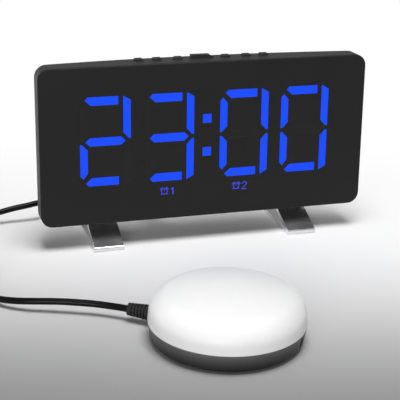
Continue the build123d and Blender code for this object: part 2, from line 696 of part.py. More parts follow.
for name, spot, width in zip(BUTTONS, BUTTON_SPOTS, BUTTON_SIZES):
    with BuildPart() as button:
        proud = SNOOZE_PROUD if name == "snooze" else BUTTON_PROUD
        with BuildSketch(CLOCK.offset(FLANGE_LOW)):
            with Locations((spot, BUTTON_DEPTH)):
                Rectangle(width, BUTTON_LENGTH)
        extrude(amount=CASE_HEIGHT + proud - FLANGE_LOW)
        crown = button.faces().sort_by(Axis(CLOCK.origin, CLOCK.z_dir))[-1]
        if name == "snooze":
            chamfer(crown.edges().sort_by(Axis.X)[-1], SNOOZE_PROUD - BUTTON_GAP, SNOOZE_BEVEL)
        else:
            fillet(crown.edges(), BUTTON_ROUND)
        with BuildSketch(CLOCK.offset(FLANGE_LOW)):
            with Locations((spot, BUTTON_DEPTH)):
                Rectangle(width + 2 * FLANGE_WIDTH, BUTTON_LENGTH + 2 * FLANGE_WIDTH)
        extrude(amount=FLANGE_THICKNESS)
    save(button, f"{name}_button")
    with BuildPart() as plunger:
        with BuildSketch(CLOCK.offset(FLANGE_LOW)):
            with Locations((spot, BUTTON_DEPTH)):
                Circle(PLUNGER_RADIUS)
        extrude(amount=-PLUNGER_LENGTH)
    save(plunger, f"{name}_plunger")

# Legs: a V of flat bar whose upper limb passes under the case and turns up behind it
SLOPE = math.tan(math.radians(LEG_SLOPE))
BAR_RISE = LEG_THICKNESS / math.cos(math.radians(LEG_SLOPE))


def limb_meets_back(depth, drop):
    """Where the upper limb, lowered by a drop, meets the plane at a depth behind the display."""
    limb_top = LEG_NOSE + (depth * math.cos(LEAN) + LEG_NOSE_AHEAD) * SLOPE
    rise = limb_top - drop - CASE_LIFT + depth * math.sin(LEAN)
    return side_point(depth, rise / (math.cos(LEAN) - math.sin(LEAN) * SLOPE))


def side_point(depth, height):
    """A point of the clock's own frame as y and z."""
    spot = CLOCK.from_local_coords((0, depth, height))
    return (spot.Y, spot.Z)


NOSE_Y = CLOCK_Y - LEG_NOSE_AHEAD
CROTCH_Y = NOSE_Y + (LEG_FLOOR_THICKNESS + BAR_RISE - LEG_NOSE) / SLOPE
TONGUE_BACK = PAD_DEPTH + LEG_THICKNESS
LEG_OUTLINE = [
    (NOSE_Y, 0),
    (CLOCK_Y + LEG_REACH, 0),
    (CLOCK_Y + LEG_REACH, LEG_FLOOR_THICKNESS),
    (CROTCH_Y, LEG_FLOOR_THICKNESS),
    limb_meets_back(TONGUE_BACK, BAR_RISE),
    side_point(TONGUE_BACK, TONGUE_TOP),
    side_point(PAD_DEPTH, TONGUE_TOP),
    limb_meets_back(PAD_DEPTH, 0),
    (NOSE_Y, LEG_NOSE),
]

for name, side in (("left_leg", -1), ("right_leg", 1)):
    with BuildPart() as leg:
        with BuildSketch(Plane.YZ.offset(side * LEG_X - LEG_WIDTH / 2)) as outline:
            with BuildLine():
                Polyline(*LEG_OUTLINE, close=True)
            make_face()
            nose = outline.vertices().sort_by(Axis.X)[:2]
            fillet(nose, LEG_NOSE_ROUND)
            inner_bend = outline.vertices().sort_by_distance(limb_meets_back(PAD_DEPTH, 0))[0]
            fillet(inner_bend, LEG_BEND)
            outer_bend = outline.vertices().sort_by_distance(limb_meets_back(TONGUE_BACK, BAR_RISE))[0]
            fillet(outer_bend, LEG_BEND + LEG_THICKNESS)
        extrude(amount=LEG_WIDTH)
        with BuildSketch(face_plane(TONGUE_BACK)):
            with Locations(*[spot for spot in LEG_SCREW_SPOTS if spot[0] * side > 0]):
                Circle(SCREW_RADIUS + SCREW_PASS)
        extrude(amount=LEG_THICKNESS, mode=Mode.SUBTRACT)
    save(leg, name)

with BuildPart() as leg_screws:
    with BuildSketch(face_plane(TONGUE_BACK)):
        with Locations(*LEG_SCREW_SPOTS):
            Circle(SCREW_RADIUS)
    extrude(amount=LEG_THICKNESS + LEG_SCREW_BITE - SCREW_FIT)
    with BuildSketch(face_plane(TONGUE_BACK + SCREW_HEAD)):
        with Locations(*LEG_SCREW_SPOTS):
            Circle(SCREW_HEAD_RADIUS)
    extrude(amount=SCREW_HEAD)
    with BuildSketch(face_plane(TONGUE_BACK + SCREW_HEAD)):
        with Locations(*LEG_SCREW_SPOTS):
            Rectangle(CROSS_LENGTH, CROSS_WIDTH)
            Rectangle(CROSS_WIDTH, CROSS_LENGTH)
    extrude(amount=CROSS_DEPTH, mode=Mode.SUBTRACT)
save(leg_screws, "leg_screws")

# Puck shells
PUCK_SIDE = Plane(origin=PUCK.origin, x_dir=(1, 0, 0), z_dir=(0, -1, 0))
PUCK_AXIS = Axis(PUCK.origin, (0, 0, 1))
CROWN_EDGE = PUCK_RADIUS - DOME_DRAFT
CROWN_RADIUS = (CROWN_EDGE ** 2 + DOME_CROWN ** 2) / (2 * DOME_CROWN)
FLOOR_Z = FOOT_PROUD + PUCK_WALL
RELIEF_TURN = math.radians(RELIEF_ANGLE)
RELIEF_DIR = Vector(math.cos(RELIEF_TURN), math.sin(RELIEF_TURN), 0)
RELIEF_PLANE = Plane(origin=PUCK.origin + Vector(0, 0, RELIEF_Z), x_dir=RELIEF_DIR,
                     z_dir=(RELIEF_DIR.Y, -RELIEF_DIR.X, 0))
RELIEF_AXIS = Axis(RELIEF_PLANE.origin, RELIEF_DIR)
RELIEF_ACROSS = Plane(origin=RELIEF_PLANE.origin, x_dir=RELIEF_PLANE.z_dir, z_dir=RELIEF_DIR)


def crown_z(radius, inset=0.0):
    """Height of the dome's crown at a radius, lowered by an inset."""
    return PUCK_TOP - CROWN_RADIUS + math.sqrt((CROWN_RADIUS - inset) ** 2 - radius ** 2)


def dome_profile(inset):
    """Half section of the dome: a leaning side, a round shoulder and a low crown."""
    edge = CROWN_EDGE - inset
    with BuildSketch(PUCK_SIDE) as sketch:
        with BuildLine():
            Polyline((0, crown_z(0, inset)), (0, PUCK_RIM), (PUCK_RADIUS - inset, PUCK_RIM),
                     (edge, crown_z(edge, inset)))
            ThreePointArc((edge, crown_z(edge, inset)), (edge / 2, crown_z(edge / 2, inset)),
                          (0, crown_z(0, inset)))
        make_face()
        fillet(sketch.vertices().sort_by(Axis.X)[-2], DOME_SHOULDER - inset)
    return sketch.sketch


def base_profile(inset):
    """Half section of the base: a flat floor, a rounded foot and a side that widens to the rim."""
    low = FOOT_PROUD + inset
    foot = PUCK_RADIUS - BASE_TAPER - inset
    with BuildSketch(PUCK_SIDE) as sketch:
        with BuildLine():
            Polyline((0, low), (foot, low), (PUCK_RADIUS - inset, PUCK_RIM), (0, PUCK_RIM), close=True)
        make_face()
        fillet(sketch.vertices().sort_by(Axis.X)[-2], BASE_ROUND - inset)
    return sketch.sketch


def ring_spots(radius, count, first):
    """Points spaced evenly round the puck."""
    turns = [math.radians(first + 360 * i / count) for i in range(count)]
    return [(radius * math.cos(turn), radius * math.sin(turn)) for turn in turns]


PUCK_SCREW_SPOTS = ring_spots(PUCK_SCREW_CIRCLE, PUCK_SCREW_COUNT, 90)
FOOT_SPOTS = ring_spots(FOOT_CIRCLE, FOOT_COUNT, 30)
STRAP_SCREW_Y = MOTOR_RADIUS + STRAP_THICKNESS + STRAP_EAR / 2
PUCK_SEAT_Z = FOOT_PROUD + SCREW_HEAD + SCREW_SUNK

with BuildPart() as shaker_top:
    revolve(dome_profile(0), PUCK_AXIS)
    revolve(dome_profile(PUCK_WALL), PUCK_AXIS, mode=Mode.SUBTRACT)
    with BuildSketch(PUCK.offset(PUCK_BOSS_Z)):
        with Locations(*PUCK_SCREW_SPOTS):
            Circle(PUCK_BOSS)
    extrude(amount=crown_z(PUCK_SCREW_CIRCLE + PUCK_BOSS, PUCK_BOSS_SINK) - PUCK_BOSS_Z)
    with BuildSketch(PUCK.offset(PUCK_BOSS_Z)):
        with Locations(*PUCK_SCREW_SPOTS):
            Circle(SCREW_RADIUS + SCREW_FIT)
    extrude(amount=PUCK_SCREW_BITE, mode=Mode.SUBTRACT)
save(shaker_top, "shaker_top")

with BuildPart() as shaker_base:
    revolve(base_profile(0), PUCK_AXIS)
    revolve(base_profile(PUCK_WALL), PUCK_AXIS, mode=Mode.SUBTRACT)
    lip = PUCK_RADIUS - PUCK_WALL - BASE_LIP_GAP
    with BuildSketch(PUCK.offset(PUCK_RIM - BASE_LIP_HEIGHT)):
        Circle(lip)
        Circle(lip - BASE_LIP, mode=Mode.SUBTRACT)
    extrude(amount=2 * BASE_LIP_HEIGHT)
    with BuildSketch(PUCK.offset(PUCK_RIM - BASE_LIP_HEIGHT)):
        Circle(PUCK_RADIUS - PUCK_WALL / 2)
        Circle(lip - BASE_LIP, mode=Mode.SUBTRACT)
    extrude(amount=BASE_LIP_HEIGHT)
    with BuildSketch(PUCK.offset(FLOOR_Z)):
        with Locations(*PUCK_SCREW_SPOTS):
            Circle(PUCK_BOSS)
    extrude(amount=PUCK_BOSS_Z - FLOOR_Z)
    # Saddles and strap posts for the motor
    for spot in SADDLE_SPOTS:
        with BuildSketch(PUCK.offset(FLOOR_Z)):
            with Locations((spot, 0)):
                Rectangle(SADDLE_LENGTH, 2 * MOTOR_RADIUS)
        extrude(amount=MOTOR_Z - FLOOR_Z)
    with BuildSketch(PUCK.offset(FLOOR_Z)):
        with Locations((STRAP_X, -STRAP_SCREW_Y), (STRAP_X, STRAP_SCREW_Y)):
            Circle(STRAP_POST)
    extrude(amount=MOTOR_Z - FLOOR_Z)
    with BuildSketch(PUCK.offset(MOTOR_Z)):
        with Locations((STRAP_X, -STRAP_SCREW_Y), (STRAP_X, STRAP_SCREW_Y)):
            Circle(STRAP_SCREW_RADIUS + SCREW_FIT)
    extrude(amount=-STRAP_SCREW_BITE, mode=Mode.SUBTRACT)
    with BuildSketch(Plane(origin=PUCK.origin + Vector(MOTOR_BACK, 0, MOTOR_Z), z_dir=(1, 0, 0))):
        Circle(MOTOR_RADIUS + SADDLE_FIT)
    extrude(amount=MOTOR_FRONT - MOTOR_BACK, mode=Mode.SUBTRACT)
    # Screw holes sunk from below, foot recesses, the lead's hole and a small notch in the side
    with BuildSketch(PUCK):
        with Locations(*PUCK_SCREW_SPOTS):
            Circle(SCREW_RADIUS + SCREW_PASS)
    extrude(amount=PUCK_BOSS_Z, mode=Mode.SUBTRACT)
    with BuildSketch(PUCK):
        with Locations(*PUCK_SCREW_SPOTS):
            Circle(SCREW_HEAD_RADIUS + SCREW_HEAD_GAP)
    extrude(amount=PUCK_SEAT_Z, mode=Mode.SUBTRACT)
    with BuildSketch(PUCK):
        with Locations(*FOOT_SPOTS):
            Circle(FOOT_RADIUS)
    extrude(amount=FOOT_PROUD + FOOT_RECESS, mode=Mode.SUBTRACT)
    with BuildSketch(RELIEF_ACROSS.offset(PUCK_RADIUS / 2)):
        Circle(RELIEF_NECK / 2 + RELIEF_FIT)
    extrude(amount=PUCK_RADIUS, mode=Mode.SUBTRACT)
    turn = math.radians(NOTCH_ANGLE)
    with BuildSketch(PUCK.offset(FOOT_PROUD + BASE_ROUND)):
        notch_x = PUCK_RADIUS - NOTCH_DEPTH
        with Locations((notch_x * math.cos(turn), notch_x * math.sin(turn))):
            Rectangle(2 * NOTCH_DEPTH, NOTCH_WIDTH, rotation=NOTCH_ANGLE)
    extrude(amount=NOTCH_HEIGHT, mode=Mode.SUBTRACT)
save(shaker_base, "shaker_base")

with BuildPart() as shaker_feet:
    with BuildSketch(PUCK):
        with Locations(*FOOT_SPOTS):
            Circle(FOOT_RADIUS)
    extrude(amount=FOOT_PROUD + FOOT_RECESS)
save(shaker_feet, "shaker_feet")

with BuildPart() as shaker_screws:
    with BuildSketch(PUCK.offset(PUCK_SEAT_Z)):
        with Locations(*PUCK_SCREW_SPOTS):
            Circle(SCREW_RADIUS)
    extrude(amount=PUCK_BOSS_Z + PUCK_SCREW_BITE - SCREW_FIT - PUCK_SEAT_Z)
    with BuildSketch(PUCK.offset(PUCK_SEAT_Z)):
        with Locations(*PUCK_SCREW_SPOTS):
            Circle(SCREW_HEAD_RADIUS)
    extrude(amount=-SCREW_HEAD)
    with BuildSketch(PUCK.offset(PUCK_SEAT_Z - SCREW_HEAD)):
        with Locations(*PUCK_SCREW_SPOTS):
            Rectangle(CROSS_LENGTH, CROSS_WIDTH)
            Rectangle(CROSS_WIDTH, CROSS_LENGTH)
    extrude(amount=CROSS_DEPTH, mode=Mode.SUBTRACT)
save(shaker_screws, "shaker_screws")


# Motor
def motor_plane(x):
    """A plane across the motor's axis."""
    return Plane(origin=PUCK.origin + Vector(x, 0, MOTOR_Z), x_dir=(0, 1, 0), z_dir=(1, 0, 0))


CAN_BORE = MOTOR_RADIUS - MOTOR_WALL
NOSE_END = MOTOR_FRONT + MOTOR_NOSE
CAP_BACK = MOTOR_BACK - END_CAP

with BuildPart() as motor_can:
    with BuildSketch(motor_plane(MOTOR_BACK)):
        Circle(MOTOR_RADIUS)
    extrude(amount=MOTOR_FRONT - MOTOR_BACK)
    with BuildSketch(motor_plane(MOTOR_BACK)):
        Circle(CAN_BORE)
    extrude(amount=MOTOR_FRONT - MOTOR_BACK - MOTOR_WALL, mode=Mode.SUBTRACT)
    with BuildSketch(motor_plane(MOTOR_FRONT)):
        Circle(MOTOR_NOSE_RADIUS)
    extrude(amount=MOTOR_NOSE)
    with BuildSketch(motor_plane(MOTOR_FRONT - MOTOR_WALL)):
        Circle(SHAFT_RADIUS + SHAFT_FIT)
    extrude(amount=MOTOR_WALL + MOTOR_NOSE, mode=Mode.SUBTRACT)
save(motor_can, "motor_can")

with BuildPart() as motor_end_cap:
    with BuildSketch(motor_plane(CAP_BACK)):
        Circle(MOTOR_RADIUS)
    extrude(amount=END_CAP)
    with BuildSketch(motor_plane(MOTOR_BACK)):
        Circle(CAN_BORE - MAGNET_GAP)
    extrude(amount=END_CAP_REGISTER)
    with BuildSketch(motor_plane(MOTOR_BACK - END_CAP / 2)):
        Circle(SHAFT_RADIUS + SHAFT_FIT)
    extrude(amount=END_CAP / 2 + END_CAP_REGISTER, mode=Mode.SUBTRACT)
save(motor_end_cap, "motor_end_cap")

with BuildPart() as motor_magnets:
    with BuildSketch(motor_plane(MOTOR_BACK + END_CAP_REGISTER + MAGNET_GAP)):
        Circle(CAN_BORE - MAGNET_GAP)
        Circle(CAN_BORE - MAGNET_GAP - MAGNET_THICKNESS, mode=Mode.SUBTRACT)
        gap = 2 * CAN_BORE * math.cos(math.radians(MAGNET_ANGLE / 2))
        Rectangle(gap, 2 * CAN_BORE, mode=Mode.SUBTRACT)
    extrude(amount=MAGNET_LENGTH)
save(motor_magnets, "motor_magnets")

with BuildPart() as motor_armature:
    with BuildSketch(motor_plane(MOTOR_BACK + END_CAP_REGISTER + ARMATURE_SPACE)):
        Circle(ARMATURE_RADIUS)
        Circle(SHAFT_RADIUS, mode=Mode.SUBTRACT)
        with PolarLocations(ARMATURE_RADIUS - ARMATURE_SLOT_DEPTH / 2, ARMATURE_POLES):
            Rectangle(ARMATURE_SLOT_DEPTH, ARMATURE_SLOT, mode=Mode.SUBTRACT)
    extrude(amount=ARMATURE_LENGTH)
save(motor_armature, "motor_armature")

with BuildPart() as motor_shaft:
    with BuildSketch(motor_plane(MOTOR_BACK - END_CAP / 2 + SHAFT_FIT)):
        Circle(SHAFT_RADIUS)
    extrude(amount=SHAFT_END - MOTOR_BACK + END_CAP / 2 - SHAFT_FIT)
save(motor_shaft, "motor_shaft")

with BuildPart() as eccentric_weight:
    with BuildSketch(motor_plane(NOSE_END + WEIGHT_SPACE)):
        Circle(WEIGHT_RADIUS)
        with Locations((0, WEIGHT_RADIUS / 2)):
            Rectangle(2 * WEIGHT_RADIUS, WEIGHT_RADIUS, mode=Mode.SUBTRACT)
        Circle(WEIGHT_HUB)
        Circle(SHAFT_RADIUS, mode=Mode.SUBTRACT)
    extrude(amount=WEIGHT_LENGTH)
save(eccentric_weight, "eccentric_weight")

STRAP_INNER = MOTOR_RADIUS + SADDLE_FIT
STRAP_OUTER = STRAP_INNER + STRAP_THICKNESS

with BuildPart() as motor_strap:
    with BuildSketch(motor_plane(STRAP_X - STRAP_LENGTH / 2)):
        Circle(STRAP_OUTER)
        with Locations((0, STRAP_THICKNESS / 2)):
            Rectangle(2 * (STRAP_OUTER + STRAP_EAR), STRAP_THICKNESS)
        Circle(STRAP_INNER, mode=Mode.SUBTRACT)
        with Locations((0, -STRAP_OUTER)):
            Rectangle(2 * (STRAP_OUTER + STRAP_EAR), 2 * STRAP_OUTER, mode=Mode.SUBTRACT)
    extrude(amount=STRAP_LENGTH)
    with BuildSketch(PUCK.offset(MOTOR_Z)):
        with Locations((STRAP_X, -STRAP_SCREW_Y), (STRAP_X, STRAP_SCREW_Y)):
            Circle(STRAP_SCREW_RADIUS + SCREW_PASS)
    extrude(amount=STRAP_THICKNESS, mode=Mode.SUBTRACT)
save(motor_strap, "motor_strap")

with BuildPart() as strap_screws:
    with BuildSketch(PUCK.offset(MOTOR_Z + STRAP_THICKNESS)):
        with Locations((STRAP_X, -STRAP_SCREW_Y), (STRAP_X, STRAP_SCREW_Y)):
            Circle(STRAP_SCREW_HEAD)
    extrude(amount=SCREW_HEAD)
    with BuildSketch(PUCK.offset(MOTOR_Z + STRAP_THICKNESS)):
        with Locations((STRAP_X, -STRAP_SCREW_Y), (STRAP_X, STRAP_SCREW_Y)):
            Circle(STRAP_SCREW_RADIUS)
    extrude(amount=SCREW_FIT - STRAP_THICKNESS - STRAP_SCREW_BITE)
save(strap_screws, "strap_screws")

# Strain relief: a flange inside the wall, a neck through it and a ribbed, tapering boot outside
RELIEF_START = PUCK_RADIUS + RELIEF_STANDOFF
RELIEF_END = RELIEF_START + RELIEF_LENGTH
RELIEF_INNER = PUCK_RADIUS - BASE_TAPER - PUCK_WALL - RELIEF_STANDOFF - RELIEF_FLANGE_LENGTH
RIB_FIRST = RELIEF_END - (RIB_COUNT + 0.5) * RIB_PITCH


def boot_radius(along):
    """Radius of the boot's taper at a distance from the puck's axis."""
    share = (along - RELIEF_START) / (RELIEF_END - RELIEF_START)
    return (RELIEF_WIDE + (RELIEF_SLIM - RELIEF_WIDE) * share) / 2


RIB_PROFILE = []
for rib in range(RIB_COUNT):
    near = RIB_FIRST + rib * RIB_PITCH - RIB_GROOVE / 2
    far = near + RIB_GROOVE
    RIB_PROFILE += [(near, boot_radius(near)), (near, boot_radius(near) - RIB_GROOVE_DEPTH),
                    (far, boot_radius(far) - RIB_GROOVE_DEPTH), (far, boot_radius(far))]

with BuildPart() as shaker_relief:
    with BuildSketch(RELIEF_PLANE):
        with BuildLine():
            Polyline(
                (RELIEF_INNER, 0),
                (RELIEF_INNER, RELIEF_FLANGE / 2),
                (RELIEF_INNER + RELIEF_FLANGE_LENGTH, RELIEF_FLANGE / 2),
                (RELIEF_INNER + RELIEF_FLANGE_LENGTH, RELIEF_NECK / 2),
                (RELIEF_START, RELIEF_NECK / 2),
                (RELIEF_START, RELIEF_WIDE / 2),
                *RIB_PROFILE,
                (RELIEF_END, RELIEF_SLIM / 2),
                (RELIEF_END, 0),
                close=True,
            )
        make_face()
    revolve(axis=RELIEF_AXIS)
save(shaker_relief, "shaker_relief")

# Two wires from the motor's end cap to the strain relief
with BuildPart() as motor_leads:
    for side in (-1, 1):
        start = PUCK.origin + Vector(CAP_BACK, side * LEAD_SPREAD, MOTOR_Z)
        across = Vector(-RELIEF_DIR.Y, RELIEF_DIR.X, 0) * (-side * LEAD_WIRE)
        end = RELIEF_PLANE.origin + RELIEF_DIR * RELIEF_INNER + across
        before = end - RELIEF_DIR * LEAD_RUN
        after = start - Vector(LEAD_RUN, 0, 0)
        with BuildLine() as wire:
            FilletPolyline(start, after, before, end, radius=LEAD_BEND)
        with BuildSketch(Plane(origin=start, z_dir=(-1, 0, 0))):
            Circle(LEAD_WIRE / 2)
        sweep(path=wire.wires()[0])
save(motor_leads, "motor_leads")

# Plug of the shaker lead in its socket
PLUG_FACE = SOCKET_FACE + PLUG_GAP
PLUG_AXIS_POINT = CLOCK.from_local_coords((-SOCKET_X, 0, SOCKET_Z))
PLUG_END = PLUG_AXIS_POINT + CLOCK.y_dir * (PLUG_FACE + PLUG_LENGTH + PLUG_BOOT)
PLUG_PLANE = Plane(origin=PLUG_AXIS_POINT, x_dir=CLOCK.y_dir, z_dir=(1, 0, 0))

with BuildPart() as shaker_plug:
    with BuildSketch(PLUG_PLANE) as profile:
        with BuildLine():
            shoulder = PLUG_FACE + PLUG_LENGTH
            Polyline((PLUG_FACE, 0), (PLUG_FACE, PLUG_RADIUS), (shoulder, PLUG_RADIUS),
                     (shoulder + PLUG_BOOT, PLUG_BOOT_SLIM), (shoulder + PLUG_BOOT, 0), close=True)
        make_face()
        fillet(profile.vertices().sort_by(Axis.Y)[-2:], PLUG_ROUND)
    revolve(axis=Axis(PLUG_AXIS_POINT, CLOCK.y_dir))
save(shaker_plug, "shaker_plug")

with BuildPart() as plug_barrel:
    with BuildSketch(face_plane(PLUG_FACE)):
        with Locations((-SOCKET_X, SOCKET_Z)):
            Circle(BARREL_RADIUS)
            Circle(BARREL_BORE, mode=Mode.SUBTRACT)
    extrude(amount=BARREL_LENGTH)
save(plug_barrel, "plug_barrel")


# Coil of spare lead: layers that spiral in and out, climbing where the spiral turns back
def heading_vector(degrees):
    """A level direction."""
    return Vector(math.cos(math.radians(degrees)), math.sin(math.radians(degrees)), 0)


def coil_radii():
    """Radius and rise of each half turn, from the first to the last."""
    steps = []
    radius = COIL_RADIUS
    for layer in range(COIL_LAYERS):
        change = -COIL_PITCH / 2 if layer % 2 == 0 else COIL_PITCH / 2
        for _ in range(HALF_TURNS):
            steps.append((radius, 0))
            radius += change
        if layer < COIL_LAYERS - 1:
            steps.append((radius, COIL_PITCH))
            radius -= change
    return steps


def coil_arcs():
    """Quarter turns as start, direction and end points."""
    heading = COIL_HEADING
    spot = Vector(*COIL_CENTRE, COIL_Z) - heading_vector(heading + 90) * COIL_RADIUS
    arcs = []
    for radius, rise in coil_radii():
        along = heading_vector(heading)
        inward = heading_vector(heading + 90)
        reach = math.sqrt(radius ** 2 + (rise / 2) ** 2)
        crest = spot + along * reach + inward * radius + Vector(0, 0, rise / 2)
        end = spot + inward * (2 * radius) + Vector(0, 0, rise)
        arcs.append((spot, along, crest))
        arcs.append((crest, inward * (2 * radius) + Vector(0, 0, rise), end))
        spot = end
        heading += 180
    return arcs


def least_gap(points, diameter, neighbours):
    """Least clear distance between stretches of a tube that aren't neighbours along it."""
    least = math.inf
    for i, first in enumerate(points):
        for second in points[i + neighbours:]:
            least = min(least, (first - second).length)
    return least - diameter


ARCS = coil_arcs()
COIL_IN = ARCS[0][0] - ARCS[0][1] * CORD
OUT_HEADING = COIL_HEADING + 180 * (COIL_LAYERS * (HALF_TURNS + 1) - 1)
COIL_OUT = ARCS[-1][2] + heading_vector(OUT_HEADING) * CORD

with BuildPart() as cord_coil:
    with BuildLine() as coil_path:
        Line(COIL_IN, ARCS[0][0])
        for start, along, end in ARCS:
            TangentArc(start, end, tangent=along)
        Line(ARCS[-1][2], COIL_OUT)
    with BuildSketch(Plane(origin=COIL_IN, z_dir=ARCS[0][1])):
        Circle(CORD / 2)
    sweep(path=coil_path.wires()[0])
save(cord_coil, "cord_coil")

SAMPLES = 12
coil_points = [edge.position_at(i / SAMPLES) for edge in coil_path.edges() for i in range(SAMPLES)]
print("coil self gap", round(least_gap(coil_points, CORD, 2 * SAMPLES), 3))
print("coil length", round(coil_path.wires()[0].length, 1))

with BuildPart() as coil_tie:
    low_radius = COIL_RADIUS - (HALF_TURNS - 1) / 2 * COIL_PITCH - CORD / 2 - TIE_SIDE_GAP
    high_radius = COIL_RADIUS + CORD / 2 + TIE_SIDE_GAP
    height = COIL_LAYERS * COIL_PITCH - COIL_PITCH + CORD + 2 * TIE_GAP
    outward = heading_vector(COIL_HEADING)
    middle = Vector(*COIL_CENTRE, TIE_THICKNESS) + outward * (low_radius + high_radius) / 2
    across = heading_vector(COIL_HEADING + 90)
    first_side = middle + across * ((COIL_PITCH - TIE_WIDTH) / 2)
    with BuildSketch(Plane(origin=first_side, x_dir=outward, z_dir=across)):
        with Locations((0, -height / 2)):
            Rectangle(high_radius - low_radius + 2 * TIE_THICKNESS, height + 2 * TIE_THICKNESS)
            Rectangle(high_radius - low_radius, height, mode=Mode.SUBTRACT)
    extrude(amount=TIE_WIDTH)
save(coil_tie, "coil_tie")

# Free stretches of the lead, through points chosen by eye
CLOCK_ROUTE = [
    PLUG_END,
    PLUG_END + CLOCK.y_dir * CORD_FIRST_RUN,
    Vector(-23.6, 115.0, 22.2),
    Vector(-29.2, 121.2, 20.9),
    Vector(-38.6, 123.8, 19.3),
    Vector(-50.0, 121.8, 17.3),
    Vector(-62.0, 116.8, 14.9),
    Vector(-73.5, 111.2, 12.7),
    Vector(-83.5, 107.0, 11.2),
    Vector(-92.5, 105.2, 10.2),
    Vector(-101.0, 105.4, 9.0),
    Vector(-110.0, 104.5, 7.4),
    Vector(-121.0, 105.2, 4.6),
    COIL_IN - ARCS[0][1] * CORD_LAST_RUN,
    COIL_IN,
]
RELIEF_TIP = RELIEF_PLANE.origin + RELIEF_DIR * RELIEF_END
SHAKER_ROUTE = [
    COIL_OUT,
    COIL_OUT + heading_vector(OUT_HEADING) * CORD_FIRST_RUN,
    Vector(-129.6, 58.2, 12.9),
    Vector(-124.3, 52.6, 11.0),
    Vector(-122.2, 45.3, 8.4),
    Vector(-123.5, 34.5, 5.4),
    Vector(-126.5, 23.0, 2.9),
    Vector(-128.4, 12.0, 2.0),
    Vector(-127.4, 1.5, 2.4),
    Vector(-122.6, -6.8, 4.0),
    Vector(-113.8, -13.3, 5.3),
    Vector(-103.0, -17.4, 6.0),
    Vector(-92.0, -21.6, 6.4),
    RELIEF_TIP + RELIEF_DIR * CORD_LAST_RUN,
    RELIEF_TIP,
]


def bend_radii(route):
    """The radius of each bend, as large as its two runs allow."""
    radii = []
    for before, spot, after in zip(route, route[1:], route[2:]):
        turn = math.radians((spot - before).get_angle(after - spot))
        shorter = min((spot - before).length, (after - spot).length)
        radii.append(BEND_SHARE * shorter / math.tan(turn / 2))
    return radii


for name, route in (("cord_clock_run", CLOCK_ROUTE), ("cord_shaker_run", SHAKER_ROUTE)):
    radii = bend_radii(route)
    with BuildPart() as run:
        with BuildLine() as run_path:
            FilletPolyline(*route, radius=radii)
        with BuildSketch(Plane(origin=route[0], z_dir=route[1] - route[0])):
            Circle(CORD / 2)
        sweep(path=run_path.wires()[0])
    save(run, name)
    length = run_path.wires()[0].length
    share = run.part.volume / (math.pi * CORD ** 2 / 4 * length)
    print(name, "length", round(length, 1), "volume share", round(share, 4))
    print(name, "radii", [round(radius, 1) for radius in radii])
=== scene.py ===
"""Looks of the bed shaker alarm clock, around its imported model. Metres, in the model's own frame."""
import json
import math

import bpy
from mathutils import Matrix, Vector


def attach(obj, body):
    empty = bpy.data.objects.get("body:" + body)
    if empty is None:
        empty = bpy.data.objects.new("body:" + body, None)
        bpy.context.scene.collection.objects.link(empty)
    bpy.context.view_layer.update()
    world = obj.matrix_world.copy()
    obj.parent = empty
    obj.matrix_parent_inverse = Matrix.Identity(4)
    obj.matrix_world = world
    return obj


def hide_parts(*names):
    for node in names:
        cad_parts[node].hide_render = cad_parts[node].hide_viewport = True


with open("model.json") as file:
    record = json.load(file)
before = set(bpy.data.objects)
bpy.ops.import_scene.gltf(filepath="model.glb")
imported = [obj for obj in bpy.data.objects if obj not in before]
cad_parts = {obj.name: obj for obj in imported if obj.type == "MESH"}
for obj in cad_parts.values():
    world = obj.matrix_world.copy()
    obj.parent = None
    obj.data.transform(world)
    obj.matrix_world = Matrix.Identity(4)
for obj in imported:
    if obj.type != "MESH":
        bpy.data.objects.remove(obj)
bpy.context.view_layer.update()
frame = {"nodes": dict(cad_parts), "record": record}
nodes = frame["nodes"]
ROOT = "clock_and_shaker"
MM = 0.001

# Camera, from the corners of the display and the rim of the puck
CAMERA_SPOT = (-0.18536, -0.54002, 0.25450)
CAMERA_RIGHT = (0.95868, -0.28352, 0.02340)
CAMERA_UP = (0.07741, 0.33912, 0.93755)
CAMERA_BACK = (-0.27375, -0.89700, 0.34706)
CAMERA_LENS = 106.57
CAMERA_SENSOR = 36.0
CAMERA_NEAR = 0.01

# Surround: its strength as light, and the strength of its dimmer ceiling where it is seen, between two rises
AMBIENT = 0.12
CEILING = 0.25
CEILING_LOW = 0.03
CEILING_HIGH = 0.30

# Lamps
KEY_SPOT = (0.0, -0.28, 1.35)
KEY_SIZE = 0.70
KEY_POWER = 17.5
FILL_SPOT = (-0.9, -1.6, 0.18)
FILL_SIZE = 1.0
FILL_POWER = 25.0
RIM_SPOT = (-1.3, 1.0, 0.22)
RIM_SIZE = 0.8
RIM_POWER = 3.5
LAMP_TARGET = (0.0, 0.0, 0.04)

# Floor: painted shade darkens its colour towards the front, and it fades into the white surround behind and
# all round
FLOOR_SIZE = 4.0
FLOOR_AHEAD = (0.2919, 0.9565)
FLOOR_NEAR = -0.16
FLOOR_FAR = 0.08
FLOOR_NEAR_PAINTED_SHADE = 0.25
FLOOR_FAR_TONE = 0.95
FADE_START = 0.06
FADE_END = 0.24
EDGE_START = 0.25
EDGE_END = 0.80
FLOOR_ROUGHNESS = 0.9

